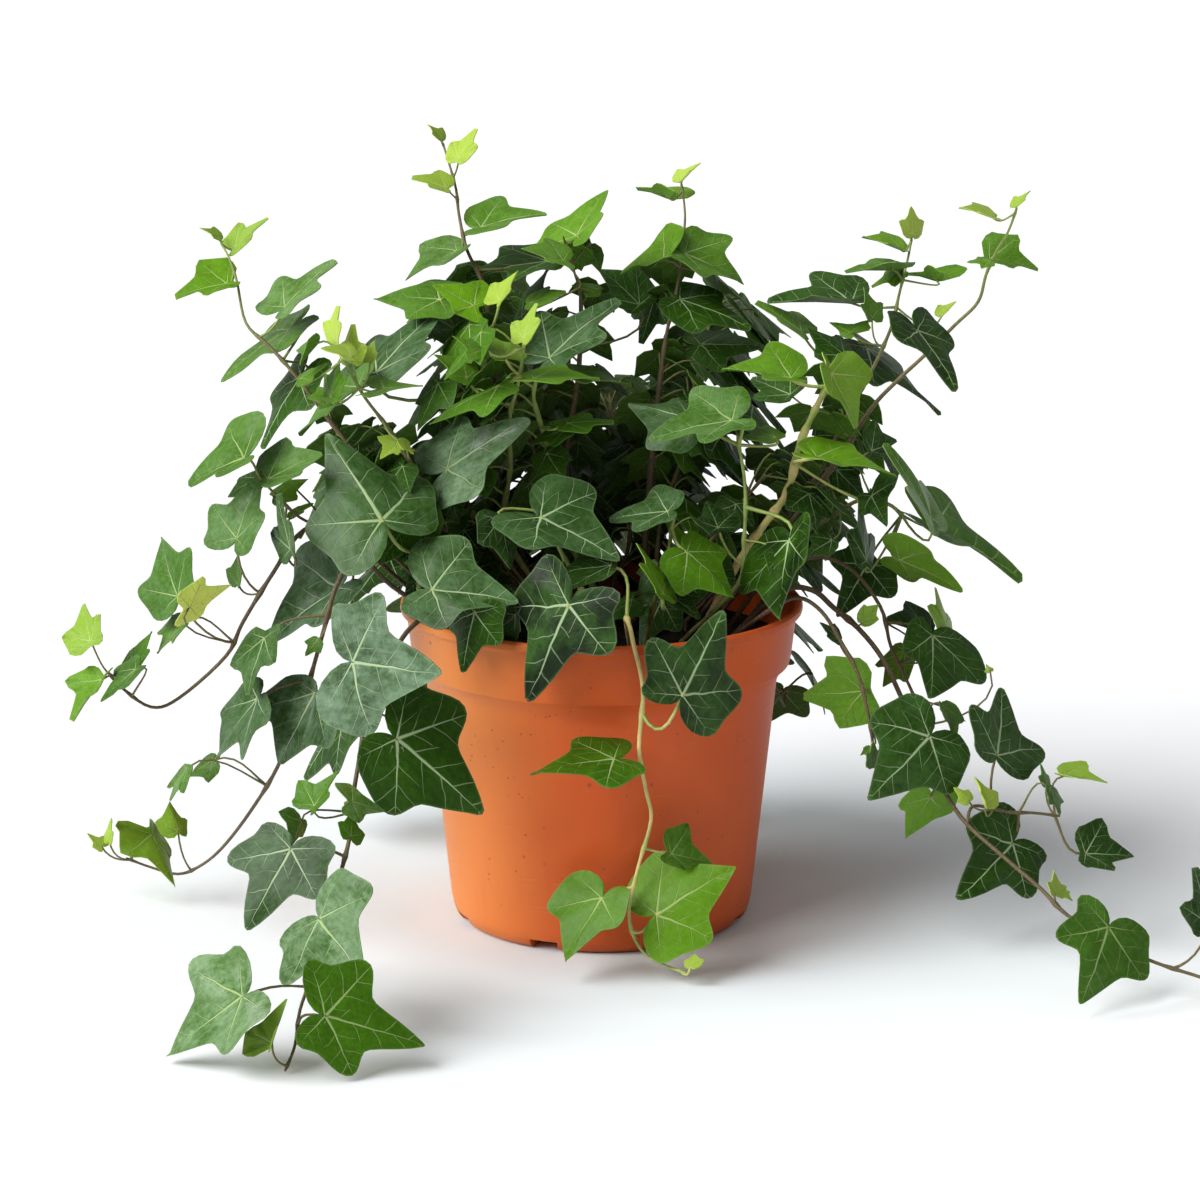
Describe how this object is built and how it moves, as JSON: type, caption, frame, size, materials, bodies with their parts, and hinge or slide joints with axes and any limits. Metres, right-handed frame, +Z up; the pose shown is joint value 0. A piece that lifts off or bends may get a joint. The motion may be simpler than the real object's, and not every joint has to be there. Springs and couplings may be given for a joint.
{
  "type": "potted ivy plant",
  "caption": "English ivy in a tapered orange nursery pot: upright shoots and a dense crown of lobed leaves, with leafy trails over the rim and along the floor.",
  "frame": {"origin": "centre of the pot's base, on the surface it stands on", "axes": "+Z up along the pot's axis, -Y towards the front of the plant as pictured, +X to the right of it"},
  "size_m": [0.3634, 0.2756, 0.2374],
  "materials": {
    "pot_plastic": "satin orange moulded plastic",
    "soil": "dark, rough potting soil",
    "ivy": "waxy green leaves with pale veins, brown to green stems"
  },
  "bodies": {
    "root": {"pot": "pot_plastic", "shoot_back_left": "ivy", "shoot_back_mid_left": "ivy", "shoot_back_mid_right": "ivy", "shoot_back_middle": "ivy", "shoot_back_right": "ivy", "shoot_crown_back_left": "ivy", "shoot_crown_back_right": "ivy", "shoot_crown_bright": "ivy", "shoot_crown_tall": "ivy", "shoot_inner_back": "ivy", "shoot_inner_back_left": "ivy", "shoot_inner_back_right": "ivy", "shoot_inner_far_left": "ivy", "shoot_inner_far_right": "ivy", "shoot_inner_left": "ivy", "shoot_inner_middle": "ivy", "shoot_inner_right": "ivy", "shoot_left_high": "ivy", "shoot_left_middle": "ivy", "shoot_left_out": "ivy", "shoot_right_high": "ivy", "shoot_right_low": "ivy", "shoot_right_middle": "ivy", "shoot_top_left": "ivy", "shoot_top_middle": "ivy", "shoot_top_right": "ivy", "soil": "soil", "stem_crown_front": "ivy", "stem_crown_left": "ivy", "stem_crown_mid_front": "ivy", "stem_crown_right": "ivy", "stem_trail_front": "ivy", "trail_back_left": "ivy", "trail_back_mid_left": "ivy", "trail_back_mid_right": "ivy", "trail_back_middle": "ivy", "trail_back_right": "ivy", "trail_front_left": "ivy", "trail_left_middle": "ivy", "trail_left_upper": "ivy", "trail_right_low": "ivy", "trail_right_mid": "ivy", "trail_right_short": "ivy"}
  },
  "joints": []
}
